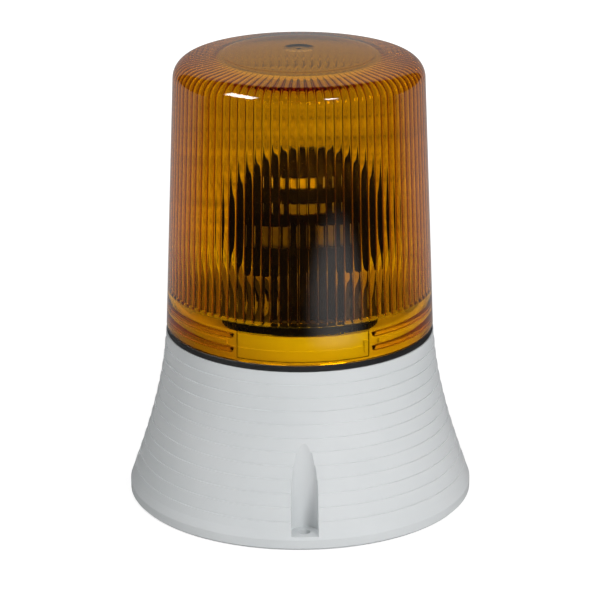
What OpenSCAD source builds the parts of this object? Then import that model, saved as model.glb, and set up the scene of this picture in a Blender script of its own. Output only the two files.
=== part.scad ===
// Rotating-mirror warning light: a screwed-down base, an amber lens that turns off its base,
// and a motor-driven reflector that runs round a fixed lamp. Millimetres, +Z up, origin at the
// middle of the base's underside, front screw pocket towards -Y.

/* [Base housing] */
// Radius of the foot
base_r = 82; // [80:0.5:88]
// Height of the housing up to the lens seal
base_h = 80.5; // [76:0.5:88]
// How far the housing's top edge stands out past the lens
rim_step = 0.3; // [0:0.1:1.2]
// Height of the upright band round the foot
foot_h = 5; // [4:0.5:6]
// Height of the guide point that pulls the waist inwards
waist_z = 50; // [46:0.5:54]
// How far that guide point lies outside the top radius
waist_out = 1.3; // [0.5:0.1:3]
// Wall thickness of the moulding
wall = 3; // [2.5:0.1:3.5]
// Distance between the moulded ledges round the waist
ledge_pitch = 6.14; // [5.8:0.02:6.3]
// Number of ledges
ledge_count = 11; // [6:1:11]
// Width of one ledge
ledge_step = 0.5; // [0.2:0.05:0.6]
// Height of the recess under the floor
floor_recess = 2.5; // [2:0.1:3]
// Thickness of the floor
floor_t = 3; // [2.5:0.1:4]

/* [Screw pockets] */
// Distance of the fixing screws' circle inside the foot's edge
fixing_inset = 7; // [6.8:0.1:7.5]
// Number of fixing screws
fixing_count = 3; // [3:1:4]
// Radius of a pocket
pocket_r = 6.3; // [5.5:0.1:6.6]
// Height of a pocket's floor
pocket_floor = 6.5; // [6:0.1:9]
// Wall of a pocket inside the housing
pocket_wall = 2.6; // [2:0.1:3]
// Radius of a fixing hole
fixing_hole_r = 2.75; // [2:0.05:2.9]

/* [Bayonet ring] */
// Height of the collar over the housing
collar_h = 15.3; // [14:0.1:17]
// Distance from the outside of the lens to the collar's lower half
bayonet_room = 4.2; // [4:0.05:4.6]
// Step between the collar's two halves
collar_step = 0.3; // [0.1:0.05:0.5]
// Wall of the collar
collar_wall = 2.4; // [2:0.1:2.8]
// Width of a housing rib, as an angle
base_rib_angle = 50; // [46:1:52]
// Width of a lens rib, as an angle
lens_rib_angle = 59.6; // [54:0.2:59.8]
// Thickness of a bayonet rib
rib_t = 2.45; // [2:0.05:2.6]
// Distance between the two lens ribs
rib_pitch = 6.6; // [6.2:0.1:7]
// Height of the lower lens rib over the lens's edge
rib_first = 3.4; // [3:0.1:4]

/* [Lens] */
// Outer radius at the lens's lower edge
lens_r = 63.4; // [63.2:0.1:65]
// Height of the lens
lens_h = 133.6; // [128:0.1:144]
// How much the radius shrinks for each millimetre of height
lens_draft = 0.039; // [0.03:0.001:0.04]
// Wall thickness between the flutes
lens_wall = 2.4; // [2:0.1:2.6]
// Wall thickness of the plain skirt
skirt_wall = 2.8; // [2.5:0.1:3]
// Number of flutes on the inside
flute_count = 90; // [60:2:100]
// Height of a flute
flute_h = 1; // [0.5:0.1:1.2]
// Height at which the flutes start, over the lens's edge
flute_start = 19.5; // [19:0.5:24]
// Outer radius of the shoulder
shoulder_r = 9; // [7:0.5:12]
// Slope of the top round the disc in its middle
top_slope = 0.15; // [0.08:0.01:0.18]
// Radius of the domed disc in the top
top_disc_r = 36.4; // [30:0.2:40]
// Height of the step round that disc
top_step = 0.15; // [0.1:0.05:0.3]
// Rise of that disc from its edge to its middle
dome_h = 2.6; // [1:0.1:3]
// Radius of the moulding dimple in the middle
dimple_r = 7.8; // [5:0.1:10]
// Depth of the three shallow panels inside the skirt
panel_d = 0.4; // [0.2:0.05:0.6]
// Height of those panels
panel_h = 12.5; // [10:0.5:14]
// Thickness of the seal under the lens
seal_t = 3; // [2:0.1:3.5]

/* [Turntable and drive] */
// Gear module
gear_module = 1; // [1]
// Teeth on the pinion
pinion_teeth = 12; // [12:1:14]
// Height of the toothed rim
tooth_w = 5.5; // [4:0.5:6]
// Play between meshing teeth, along the pitch circle
backlash = 0.3; // [0.2:0.05:0.5]
// Direction of the pinion, from +X
pinion_angle = 100; // [90:5:120]
// Radius of the motor shaft
shaft_r = 1.5; // [1:0.1:1.8]
// Radius of the motor
motor_r = 11.8; // [10:0.1:11.8]
// Room between the motor and the collar
motor_gap = 2.7; // [2.7:0.1:4]
// Length of the motor
motor_l = 31; // [24:1:36]
// Thickness of the chassis plate
chassis_t = 3; // [2:0.1:3.5]
// Outer radius of the bearing tube
spigot_r = 16; // [15.5:0.1:16.4]
// Wall of the bearing tube
spigot_wall = 3; // [2.5:0.1:3.2]
// Wall of the plastic bearing bush
bush_wall = 1.55; // [1:0.05:2]
// Running clearance of the bush, on the radius
bearing_clear = 0.06; // [0.03:0.01:0.1]

/* [Reflector] */
// How far the reflector's back lies inside the turntable's edge
dish_setback = 6; // [5.5:0.5:8]
// Radius of the reflector
dish_r = 34.5; // [32:0.5:36]
// How far under the filament the reflector and its carrier are cut off level
cut_drop = 24.5; // [20.5:1:28.5]
// Height of the lamp's filament over the chassis plate
filament_h = 58; // [57:0.5:61]
// Direction in which the beam leaves, from +X
beam_angle = 97; // [60:1:150]
// Sheet thickness of the reflector
dish_t = 0.8; // [0.6:0.1:1]
// Thickness of the moulded carrier
carrier_t = 2; // [1.6:0.1:2.4]
// Width of the carrier's back bracket
bracket_w = 33; // [28:1:36]

/* [Lamp] */
// Radius of the bulb's metal cap
cap_r = 7.5; // [7:0.1:7.6]
// Length of the bulb's metal cap
cap_l = 19; // [17:0.5:20]
// Largest radius of the bulb's glass
bulb_r = 12.5; // [11:0.5:13]
// Height of the filament over the bottom of the cap
bulb_focus = 38.5; // [37:0.5:39]
// Height over the chassis plate of the lamp holder's rim
holder_top = 33; // [32:0.5:34]
// Radius of the lamp holder
holder_r = 12.6; // [12:0.1:12.8]

/* [Cable and terminals] */
// Radius of the cable hole in the grommet
cable_r = 3.5; // [2.5:0.1:4]
// Radius of the grommet's neck
grommet_r = 7; // [6:0.1:8]
// Radius of an inner lead
lead_r = 1; // [0.8:0.1:1.1]
// Distance between the terminals
terminal_pitch = 6; // [5.5:0.1:7]
// Length of a chassis screw below its head
screw_l = 10; // [8:0.5:11]

/* [Hidden] */
$fn = 96;
fit = 0.02;
slip = 0.3;
lift = 0.01;

// Places of the fixing screws: the first one faces the front
fixing_r = base_r - fixing_inset;
fixing_angles = [for (i = [0 : fixing_count - 1]) -90 + i * 360 / fixing_count];
rim_chamfer = 1;
rim_in = fixing_r + fixing_hole_r + 0.3;
groove_in = rim_in + 0.8;
groove_out = base_r - 1.6;
groove_depth = 1.5;
floor_top = floor_recess + floor_t;
ledge_low = base_h - ledge_count * ledge_pitch;
base_top_r = lens_r + rim_step;
collar_r = lens_r - bayonet_room;
collar_in = collar_r - collar_step - collar_wall;

// Gears, which set where the motor goes: as large as the collar leaves room for
tooth_top = 0.74 * gear_module;
tooth_root = 1.0 * gear_module;
pressure = 20;
gear_teeth = floor(2 * (collar_in - motor_gap - motor_r) / gear_module + 0.01) - pinion_teeth;
gear_pitch_r = gear_module * gear_teeth / 2;
pinion_pitch_r = gear_module * pinion_teeth / 2;
motor_axis = gear_pitch_r + pinion_pitch_r;
focus = gear_pitch_r - dish_setback;
gear_miss = pinion_angle - round(pinion_angle * gear_teeth / 360) * 360 / gear_teeth;
pinion_phase = 180 + 180 / pinion_teeth - gear_miss * gear_teeth / pinion_teeth;

// Chassis seat and bayonet collar
seat_t = 2.5;
seat_z = base_h - 2;
collar_top = base_h + collar_h;
chassis_r = collar_in - 0.5;
chassis_top = seat_z + chassis_t;
motor_reach = motor_axis + motor_r;
ledge_in = motor_reach + 0.5;

// Lens and its ribs
lens_z = base_h + seal_t;
lens_top = lens_z + lens_h;
skirt_in = lens_r - skirt_wall;
lens_rib_in = collar_r + slip;
base_rib_out = skirt_in - slip;
lens_rib_z = lens_z + rib_first;
base_rib_z = lens_rib_z + rib_t + slip;
base_rib_t = rib_pitch - rib_t - slip - 1.4;
lug_angles = [-30, 90, 210];
stop_angle = 2.2;
stop_gap = 0.3;
dimple_depth = 0.6;
panel_low = 1.4;

// Side and top of the lens meet in a corner that the shoulder rounds off
side_a = atan(lens_draft);
top_a = 90 - atan(top_slope);
rim_top = lens_top - dome_h - top_step;
corner_r = (lens_r - lens_draft * (rim_top - lens_z + top_slope * top_disc_r)) / (1 - lens_draft * top_slope);
corner_z = rim_top - top_slope * (corner_r - top_disc_r);
shoulder_c = shoulder_centre(shoulder_r);
inner_shoulder = shoulder_r - lens_wall;
fade_r = top_disc_r + 1;
dome_in = dome_h + top_step + (fade_r - top_disc_r) * top_slope;

// Bearing and turntable
bush_flange_t = 1.5;
bush_flange_r = spigot_r + 5;
bush_in = spigot_r + 0.05;
bush_out = bush_in + bush_wall;
hub_bore = bush_out + bearing_clear;
hub_z = chassis_top + bush_flange_t;
gear_z = hub_z + 1;
drum_r = gear_pitch_r;
deck_z = gear_z + tooth_w + 0.2;
hub_top = deck_z + 2;
drum_top = hub_top + 2.3;
clip_t = 1;
clip_z = hub_top + slip;
clip_in = spigot_r - 1.15;
clip_out = spigot_r + 4;
clip_mouth = 50;
clip_mouth_at = 150;
spigot_bottom = seat_z - 3;
spigot_in = spigot_r - spigot_wall;
pinion_z = gear_z;
pinion_w = tooth_w - slip;
motor_boss_r = 3;
motor_boss_h = 1.5;
motor_hole_r = 8;
motor_bottom = seat_z - motor_l;
tab_y = 4;
tab_h = 4;
rib_plate = 2;

// Lamp and reflector heights
filament_z = chassis_top + filament_h;
cap_z = filament_z - bulb_focus;
cap_top = cap_z + cap_l;
holder_z = chassis_top + holder_top;
holder_seat = cap_z - 2.5;
pin_z = cap_z + 6.5;
pin_r = 1;
pin_turn = 20;
contact_y = 3;
contact_stem_r = 0.8;
contact_bottom = spigot_bottom - 11;
carrier_gap = 0.1;
column_clear = 3;
column_over = 6;
clear_r = 1.5 * dish_r;
carrier_back = focus + dish_t + carrier_gap + carrier_t;
bracket_out = carrier_back - 0.9;
bracket_in = bracket_out - 2;
bracket_half = asin(bracket_w / 2 / bracket_out);
foot_plate_t = 2;
bracket_drop = 10;
window_x = focus - 14;
window_w = 10.5;
window_h = 11;
window_drop = 9.5;
window_y = -3.8;
window_gap = 22.9;
slot_low = 7;
slot_t = 5;
slot_w = 17;
slot_y = -11;
slot_pitch = 11.5;
carrier_screw_r = bracket_in - 2.6;
carrier_screw_angles = [beam_angle + 164, beam_angle + 196];

// Terminal block and the leads' run across the floor
block_x = -22;
block_depth = 14;
block_h = 14;
lead_z = floor_top + 6;
bend_r = 4;
terminal_y = [for (i = [0 : 3]) (i - 0.5) * terminal_pitch];
lead_grip = 4;

// Chassis screws
chassis_screw_r = ledge_in - 2.8;
chassis_screw_angles = [0, 200, 300];
screw_r = 1.5;
screw_head_r = 2.75;
screw_head_t = 2;

// Centre of a shoulder rounding of radius r inside the corner of side and top
function shoulder_centre(r) =
    let (side = corner_r * cos(side_a) + corner_z * sin(side_a) - r)
    let (top = corner_r * cos(top_a) + corner_z * sin(top_a) - r)
    [side * sin(top_a) - top * sin(side_a), top * cos(side_a) - side * cos(top_a)] / sin(top_a - side_a);

// A point of the shoulder: r from its centre, in direction a
function shoulder_point(r, a) = shoulder_c + r * [cos(a), sin(a)];

// Height of the domed disc at distance r from the axis
function dome_z(r) = rim_top + top_step + dome_h * (1 - pow(r / top_disc_r, 2));

// Housing radius at height z: a curve from the foot to the top that the guide point pulls inwards
function waist_t(z) =
    let (b = 2 * (waist_z - foot_h))
    let (a = foot_h - 2 * waist_z + base_h)
    2 * (z - foot_h) / (b + sqrt(b * b + 4 * a * (z - foot_h)));
function waist_r(z) =
    z <= foot_h ? base_r
    : let (t = waist_t(z))
      (1 - t) * (1 - t) * base_r + 2 * t * (1 - t) * (base_top_r + waist_out) + t * t * base_top_r;

// One flank point of an involute tooth, r from the gear's centre, as a half angle
function involute(x) = tan(x) * 180 / PI - x;
function flank_angle(r, pitch_r) =
    let (base = pitch_r * cos(pressure))
    let (here = r > base ? involute(acos(base / r)) : 0)
    (gear_module * PI - backlash) / 4 / pitch_r * 180 / PI + involute(pressure) - here;

function polar(r, a) = [r * cos(a), r * sin(a)];

// Outline of a spur gear: root, base, pitch and tip points on both flanks of each tooth
function gear_outline(teeth) =
    let (pitch_r = gear_module * teeth / 2)
    let (root = pitch_r - tooth_root)
    let (tip = pitch_r + tooth_top)
    let (radii = [root, pitch_r * cos(pressure) < root ? pitch_r - tooth_root / 2
        : pitch_r * cos(pressure), pitch_r, tip])
    [for (i = [0 : teeth - 1]) each concat(
        [for (r = radii) polar(r, i * 360 / teeth - flank_angle(r, pitch_r))],
        [for (k = [3 : -1 : 0]) polar(radii[k], i * 360 / teeth + flank_angle(radii[k], pitch_r))])];

// A ring of rectangular section
module ring(r_in, r_out, z, h) {
    translate([0, 0, z])
        difference() {
            cylinder(r = r_out, h = h);
            translate([0, 0, -1])
                cylinder(r = r_in, h = h + 2);
        }
}

// A sector of such a ring, centred on angle a
module sector(r_in, r_out, z, h, a, width) {
    rotate([0, 0, a - width / 2])
        rotate_extrude(angle = width)
            translate([r_in, z])
                square([r_out - r_in, h]);
}

// Copies its children round the axis
module around(angles, r = 0) {
    for (a = angles)
        rotate([0, 0, a])
            translate([r, 0, 0])
                children();
}

// A pan-head screw, head upwards, its seat at z = 0
module pan_screw(r, head_r, head_t, length) {
    translate([0, 0, -length])
        cylinder(r = r, h = length);
    difference() {
        union() {
            cylinder(r = head_r, h = head_t * 0.55);
            translate([0, 0, head_t * 0.55])
                cylinder(r1 = head_r, r2 = head_r * 0.72, h = head_t * 0.45);
        }
        for (turn = [0, 90])
            rotate([0, 0, turn])
                translate([-head_r * 0.6, -head_r * 0.12, head_t * 0.4])
                    cube([head_r * 1.2, head_r * 0.24, head_t]);
    }
}

// Section of the housing: outside with its ledges, rim, floor, wall, seat, collar
module housing_section() {
    outside = concat(
        [[base_top_r, base_h]],
        [for (i = [1 : ledge_count]) each [
            [waist_r(base_h - i * ledge_pitch) - ledge_step / 2, base_h - i * ledge_pitch],
            [waist_r(base_h - i * ledge_pitch) + ledge_step / 2, base_h - i * ledge_pitch]]],
        [[waist_r((ledge_low + foot_h) / 2), (ledge_low + foot_h) / 2],
            [base_r, foot_h], [base_r, rim_chamfer], [base_r - rim_chamfer, 0]]);
    under = [[groove_out, 0], [groove_out, groove_depth], [groove_in, groove_depth], [groove_in, 0],
        [rim_in, 0], [rim_in, floor_recess], [0, floor_recess], [0, floor_top]];
    steps = 6;
    wall_low = floor_top + 2;
    wall_high = seat_z - seat_t;
    inside = [for (i = [0 : steps])
        let (z = wall_low + (wall_high - wall_low) * i / steps) [waist_r(z) - wall, z]];
    collar = [[ledge_in, wall_high], [ledge_in, seat_z], [collar_in, seat_z], [collar_in, collar_top],
        [collar_r - collar_step, collar_top], [collar_r - collar_step, lens_z + rib_first + rib_t],
        [collar_r, lens_z + rib_first + rib_t], [collar_r, base_h]];
    polygon(concat(outside, under, [[waist_r(wall_low) - wall - 2, floor_top]], inside, collar));
}

// Solid outline of the housing, which trims what stands inside it
module housing_envelope() {
    rotate_extrude()
        polygon(concat(
            [[0, base_h - 3], [0, 0], [base_r - rim_chamfer, 0], [base_r - lift, rim_chamfer]],
            [for (i = [0 : 12])
                let (z = foot_h + (base_h - 3 - foot_h) * i / 12) [waist_r(z) - ledge_step, z]]));
}

module base_housing() {
    color([0.81, 0.83, 0.83])
        difference() {
            union() {
                rotate_extrude()
                    housing_section();
                intersection() {
                    housing_envelope();
                    around(fixing_angles, fixing_r)
                        cylinder(r = pocket_r + pocket_wall, h = base_h);
                }
                housing_underside();
                chassis_bosses();
                for (c = lug_angles) {
                    sector(collar_in + 1, base_rib_out, base_rib_z, base_rib_t, c, base_rib_angle);
                    sector(collar_in + 1, base_rib_out, lens_rib_z, base_rib_z + base_rib_t - lens_rib_z,
                        c - lens_rib_angle / 2 - stop_gap - stop_angle / 2, stop_angle);
                }
            }
            around(fixing_angles, fixing_r) {
                translate([0, 0, pocket_floor])
                    cylinder(r = pocket_r, h = base_h);
                translate([0, -pocket_r, pocket_floor])
                    cube([base_r - fixing_r + 10, 2 * pocket_r, base_h]);
                translate([0, 0, -1])
                    cylinder(r = fixing_hole_r, h = pocket_floor + 2);
            }
            translate([0, 0, -1])
                cylinder(r = grommet_r, h = floor_top + 2);
            ring(groove_in, groove_out, -1, groove_depth + 1);
            around(chassis_screw_angles, chassis_screw_r)
                translate([0, 0, seat_z - screw_l - 1])
                    cylinder(r = screw_r + fit, h = screw_l + 2);
        }
}

// Stiffening ribs under the floor, clear of the grommet
module housing_underside() {
    for (i = [0 : 5])
        rotate([0, 0, i * 60 + 30])
            translate([grommet_r + 4.5, -rib_plate / 2, floor_recess - 1.5])
                cube([rim_in - grommet_r - 4, rib_plate, 2]);
    ring(grommet_r + 3.5, grommet_r + 5.5, floor_recess - 1.5, 2);
}

// Screw bosses under the chassis seat, each tied to the wall by a rib
module chassis_bosses() {
    around(chassis_screw_angles) {
        translate([chassis_screw_r, 0, seat_z - screw_l - 3])
            cylinder(r = 3.4, h = screw_l + 3);
        translate([chassis_screw_r, -1, seat_z - screw_l])
            cube([waist_r(seat_z - seat_t) - wall + 1 - chassis_screw_r, 2, screw_l - 1]);
        translate([chassis_screw_r, -3.4, seat_z - seat_t])
            cube([ledge_in + 1 - chassis_screw_r, 6.8, seat_t]);
    }
}

module foot_gasket() {
    color([0.12, 0.12, 0.12])
        ring(groove_in + fit, groove_out - fit, 0, groove_depth);
}

module cable_grommet() {
    color([0.13, 0.13, 0.13])
        rotate_extrude()
            polygon([[cable_r, floor_recess - 1.5], [grommet_r + 1.5, floor_recess - 1.5],
                [grommet_r + 2, floor_recess], [grommet_r - fit, floor_recess],
                [grommet_r - fit, floor_top], [grommet_r + 2, floor_top],
                [grommet_r + 1.2, floor_top + 1.5], [cable_r + 0.6, floor_top + 1.5],
                [cable_r, floor_top + 0.9]]);
}

module lens_gasket() {
    color([0.07, 0.07, 0.07])
        rotate_extrude()
            polygon([[collar_r + fit, base_h], [lens_r - 0.4, base_h], [lens_r - 0.1, base_h + 0.4],
                [lens_r - 0.1, lens_z - 0.4], [lens_r - 0.4, lens_z], [collar_r + fit, lens_z]]);
}

// Outside of the lens as a section
module lens_section() {
    steps = 10;
    shoulder = [for (i = [0 : steps])
        shoulder_point(shoulder_r, side_a + (top_a - side_a) * i / steps)];
    polygon(concat(
        [[0, lens_z], [lens_r - 0.5, lens_z], [lens_r, lens_z + 0.5]],
        shoulder,
        [[top_disc_r, rim_top]],
        [for (i = [0 : 5])
            let (r = top_disc_r - top_step + (dimple_r - top_disc_r + top_step) * i / 5) [r, dome_z(r)]],
        [[dimple_r / 2, dome_z(dimple_r) - dimple_depth], [1.4, dome_z(dimple_r) - dimple_depth],
            [1, dome_z(dimple_r) - 0.1], [0, dome_z(dimple_r) - 0.1]]));
}

// Height of the inner face on the slope round the disc, at distance r from the axis
function inner_top(r) =
    let (last = shoulder_point(inner_shoulder, top_a)) last[1] + (last[0] - r) * top_slope;

// Hollow under the domed disc, which keeps the wall even there
module dome_hollow() {
    low = inner_top(fade_r);
    rotate_extrude()
        polygon(concat(
            [[0, low - 1], [fade_r - 0.3, low - 1]],
            [for (i = [0 : 5])
                let (r = (fade_r - 0.3) * (1 - i / 5)) [r, low + dome_in * (1 - pow(r / fade_r, 2)) - lift]]));
}

// Fluted hollow of the lens: rings of points, each a valley and three points of a rounded flute
module flute_hollow() {
    samples = 4;
    count = flute_count * samples;
    bulge = [0, 0.75, 1, 0.75];
    low_z = lens_z + flute_start - 2;
    low = [[lens_r - lens_draft * (low_z - lens_z) - lens_wall, low_z, 0, 1]];
    shoulder = [for (i = [0 : 4])
        let (a = side_a + (top_a - side_a) * i / 4)
        let (p = shoulder_point(inner_shoulder, a)) [p[0], p[1], a, 1]];
    last = shoulder[4];
    shares = [1, 1, 0.85, 0];
    fade = [for (i = [1 : 3])
        let (r = last[0] + (fade_r - last[0]) * i / 3)
        [r, inner_top(r), 90, shares[i]]];
    rings = concat(low, shoulder, fade);
    top_z = rings[len(rings) - 1][1];
    points = concat(
        [for (ring = rings) for (j = [0 : count - 1])
            let (inward = flute_h * ring[3] * bulge[j % samples])
            let (r = ring[0] - inward * cos(ring[2]))
            [r * cos(j * 360 / count), r * sin(j * 360 / count), ring[1] - inward * sin(ring[2])]],
        [[0, 0, low_z], [0, 0, top_z]]);
    bottom_centre = len(rings) * count;
    faces = concat(
        [for (k = [0 : len(rings) - 2]) for (j = [0 : count - 1]) each [
            [k * count + j, (k + 1) * count + j, (k + 1) * count + (j + 1) % count],
            [k * count + j, (k + 1) * count + (j + 1) % count, k * count + (j + 1) % count]]],
        [for (j = [0 : count - 1]) [bottom_centre, j, (j + 1) % count]],
        [for (j = [0 : count - 1])
            let (top = (len(rings) - 1) * count)
            [bottom_centre + 1, top + (j + 1) % count, top + j]]);
    polyhedron(points = points, faces = faces);
}

module lens() {
    color([0.85, 0.5, 0.02, 0.75]) {
        difference() {
            rotate_extrude()
                lens_section();
            translate([0, 0, lens_z - 1])
                cylinder(r = skirt_in, h = flute_start + 1);
            flute_hollow();
            dome_hollow();
            for (c = lug_angles)
                sector(skirt_in - 1, skirt_in + panel_d, lens_z + panel_low, panel_h,
                    c + 180 / len(lug_angles), 360 / len(lug_angles) - lens_rib_angle - 1);
        }
        for (c = lug_angles)
            for (level = [0, 1])
                sector(lens_rib_in, skirt_in + 0.8, lens_rib_z + level * rib_pitch, rib_t, c,
                    lens_rib_angle);
    }
}

module chassis_plate() {
    color([0.8, 0.8, 0.79])
        difference() {
            union() {
                translate([0, 0, seat_z])
                    cylinder(r = chassis_r, h = chassis_t);
                translate([0, 0, spigot_bottom])
                    cylinder(r = spigot_r, h = drum_top - spigot_bottom);
            }
            translate([0, 0, spigot_bottom - 1])
                cylinder(r = spigot_in, h = drum_top - spigot_bottom + 2);
            difference() {
                ring(clip_in - fit, spigot_r + 1, clip_z, clip_t);
                cylinder(r = clip_in - fit, h = lens_top);
            }
            around(chassis_screw_angles, chassis_screw_r)
                translate([0, 0, seat_z - 1])
                    cylinder(r = screw_r + 0.2, h = chassis_t + 2);
            around([pinion_angle], motor_axis)
                translate([0, 0, seat_z - 1]) {
                    cylinder(r = motor_boss_r + fit, h = chassis_t + 2);
                    for (side = [-1, 1])
                        translate([0, side * motor_hole_r, 0])
                            cylinder(r = 1.2, h = chassis_t + 2);
                }
        }
}

module chassis_screws() {
    color([0.75, 0.75, 0.75])
        around(chassis_screw_angles, chassis_screw_r)
            translate([0, 0, chassis_top])
                pan_screw(screw_r, screw_head_r, screw_head_t, chassis_t + screw_l - 1);
}

module bearing_bush() {
    color([0.93, 0.92, 0.88])
        rotate_extrude()
            polygon([[bush_in, chassis_top], [bush_flange_r, chassis_top], [bush_flange_r, hub_z],
                [bush_out, hub_z], [bush_out, hub_top - 0.1], [bush_in, hub_top - 0.1]]);
}

module retaining_clip() {
    color([0.6, 0.6, 0.62])
        difference() {
            ring(clip_in, clip_out, clip_z + fit, clip_t - 2 * fit);
            sector(0, clip_out + 1, clip_z - 1, clip_t + 2, clip_mouth_at, clip_mouth);
        }
}

module turntable_gear() {
    color([0.06, 0.06, 0.06])
        difference() {
            union() {
                translate([0, 0, gear_z])
                    linear_extrude(tooth_w)
                        polygon(gear_outline(gear_teeth));
                ring(hub_bore, bush_flange_r, hub_z, hub_top - hub_z);
                ring(hub_bore, drum_r, gear_z + tooth_w, hub_top - gear_z - tooth_w);
                ring(clip_out + 2.5, drum_r, hub_top - 1, drum_top - hub_top + 1);
            }
            translate([0, 0, hub_z - 1])
                cylinder(r = hub_bore, h = drum_top);
            ring(bush_flange_r, gear_pitch_r - 3, gear_z - 1, deck_z - gear_z + 1);
            around(carrier_screw_angles, carrier_screw_r)
                translate([0, 0, hub_z])
                    cylinder(r = 1.2, h = drum_top);
        }
}

module drive_pinion() {
    color([0.9, 0.88, 0.82])
        around([pinion_angle], motor_axis)
            difference() {
                translate([0, 0, pinion_z])
                    union() {
                        rotate([0, 0, pinion_phase])
                            linear_extrude(pinion_w)
                                polygon(gear_outline(pinion_teeth));
                        translate([0, 0, pinion_w - 1])
                            cylinder(r = 3.2, h = 3);
                    }
                translate([0, 0, pinion_z - 1])
                    cylinder(r = shaft_r + lift, h = pinion_w + 4);
            }
}

module motor_shaft() {
    color([0.7, 0.7, 0.72])
        around([pinion_angle], motor_axis)
            translate([0, 0, seat_z - motor_l / 2])
                cylinder(r = shaft_r, h = pinion_z + pinion_w + 2.5 - seat_z + motor_l / 2);
}

module motor_body() {
    color([0.55, 0.56, 0.58])
        around([pinion_angle], motor_axis)
            difference() {
                union() {
                    translate([0, 0, motor_bottom + 1])
                        cylinder(r = motor_r, h = motor_l - 1);
                    translate([0, 0, motor_bottom])
                        cylinder(r = motor_r - 1, h = 1);
                    translate([0, 0, seat_z])
                        cylinder(r = motor_boss_r, h = motor_boss_h);
                    for (side = [-1, 1])
                        translate([-1.5, side * tab_y - 0.4, motor_bottom - tab_h])
                            cube([3, 0.8, tab_h + 0.5]);
                }
                translate([0, 0, seat_z - motor_l / 2])
                    cylinder(r = shaft_r + fit, h = motor_l);
                for (side = [-1, 1])
                    translate([0, side * motor_hole_r, seat_z - 4])
                        cylinder(r = 1 + fit, h = 6);
            }
}

module motor_screws() {
    color([0.75, 0.75, 0.75])
        around([pinion_angle], motor_axis)
            for (side = [-1, 1])
                translate([0, side * motor_hole_r, chassis_top])
                    pan_screw(1, 1.9, 1.2, chassis_t + 3.5);
}

module lamp_holder() {
    color([0.16, 0.16, 0.17])
        difference() {
            union() {
                ring(0, spigot_r + 1.5, spigot_bottom - 2.5, 2.5);
                translate([0, 0, spigot_bottom])
                    cylinder(r = spigot_in - fit, h = 6);
                translate([0, 0, spigot_bottom])
                    cylinder(r = holder_r, h = holder_z - spigot_bottom);
            }
            translate([0, 0, holder_seat])
                cylinder(r = cap_r + 0.1, h = holder_z);
            translate([0, 0, spigot_bottom - 3])
                cylinder(r = 6, h = holder_seat - spigot_bottom + 1);
            for (side = [-1, 1])
                translate([0, side * contact_y, holder_seat - 4])
                    cylinder(r = contact_stem_r + fit, h = 6);
            for (turn = [0, 180]) {
                rotate([0, 0, turn])
                    translate([cap_r - 1, -pin_r - 0.2, pin_z - pin_r - 0.2])
                        cube([2.8, 2 * pin_r + 0.4, holder_z]);
                sector(cap_r - 1, cap_r + 1.8, pin_z - pin_r - 0.2, 2 * pin_r + 0.4,
                    turn + (pin_turn + 9) / 2, pin_turn + 9);
            }
        }
}

module lamp_contacts() {
    color([0.8, 0.65, 0.3])
        for (side = [-1, 1])
            translate([0, side * contact_y, 0]) {
                translate([0, 0, holder_seat])
                    cylinder(r = 1.8, h = cap_z - holder_seat);
                translate([0, 0, contact_bottom])
                    cylinder(r = contact_stem_r, h = holder_seat - contact_bottom + 0.5);
            }
}

module bulb_cap() {
    color([0.72, 0.7, 0.6])
        union() {
            rotate_extrude()
                polygon([[0, cap_z], [cap_r - 0.6, cap_z], [cap_r, cap_z + 0.6], [cap_r, cap_top - 0.5],
                    [cap_r - 0.3, cap_top], [0, cap_top]]);
            for (turn = [0, 180])
                rotate([0, 0, turn + pin_turn])
                    translate([cap_r - 2, 0, pin_z])
                        rotate([0, 90, 0])
                            cylinder(r = pin_r, h = 3.4);
        }
}

// Glass radius at height z: a round bulb that narrows to its neck, less the given wall
function glass_r(z, inset) =
    let (middle = filament_z + 1.5)
    let (neck = cap_r - 0.5)
    z >= middle ? sqrt(max(0, pow(bulb_r - inset, 2) - pow(z - middle, 2)))
    : neck - inset + (bulb_r - neck) * (0.5 + 0.5 * cos(180 * (middle - z) / (middle - cap_top)));

module bulb_glass() {
    glass_t = 0.8;
    steps = 22;
    top = filament_z + 1.5 + bulb_r;
    color([0.9, 0.95, 1, 0.4])
        rotate_extrude()
            polygon(concat(
                [for (i = [0 : steps])
                    let (z = cap_top + (top - cap_top) * sin(90 * i / steps)) [glass_r(z, 0), z]],
                [for (i = [steps : -1 : 0])
                    let (z = cap_top + (top - glass_t - cap_top) * sin(90 * i / steps))
                    [glass_r(z, glass_t), z]]));
}

module bulb_filament() {
    post_x = 3;
    color([0.5, 0.5, 0.5])
        union() {
            for (side = [-1, 1])
                translate([side * post_x, 0, cap_top])
                    cylinder(r = 0.35, h = filament_z - cap_top + 0.2);
            translate([-post_x, 0, filament_z])
                rotate([0, 90, 0])
                    cylinder(r = 0.7, h = 2 * post_x);
            translate([0, 0, cap_top])
                cylinder(r = 2.2, h = 4);
        }
}

// Puts a dish drawn on its own axis in front of the lamp: its focus on the filament
module on_beam() {
    translate([0, 0, filament_z])
        rotate([0, 90, beam_angle])
            translate([0, 0, -focus])
                children();
}

// Depth of the reflector's curve at distance r from the beam
function dish_depth(r) = r * r / 4 / focus;

// A bowl that follows the reflector's curve, from back to front of its wall
module bowl(r_out, back, front) {
    steps = 12;
    rotate_extrude()
        polygon(concat(
            [for (i = [0 : steps]) [r_out * i / steps, dish_depth(r_out * i / steps) - back]],
            [for (i = [steps : -1 : 0]) [r_out * i / steps, dish_depth(r_out * i / steps) - front]]));
}

// Free way for the lamp holder and for the clip under the dish
module column_way() {
    translate([0, 0, chassis_top])
        cylinder(r = holder_r + column_clear, h = holder_z + column_over - chassis_top);
}

// All that lies below the level at which the reflector and its carrier end
module under_cut() {
    translate([0, 0, chassis_top])
        cylinder(r = clear_r, h = filament_z - cut_drop - chassis_top);
}

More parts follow.
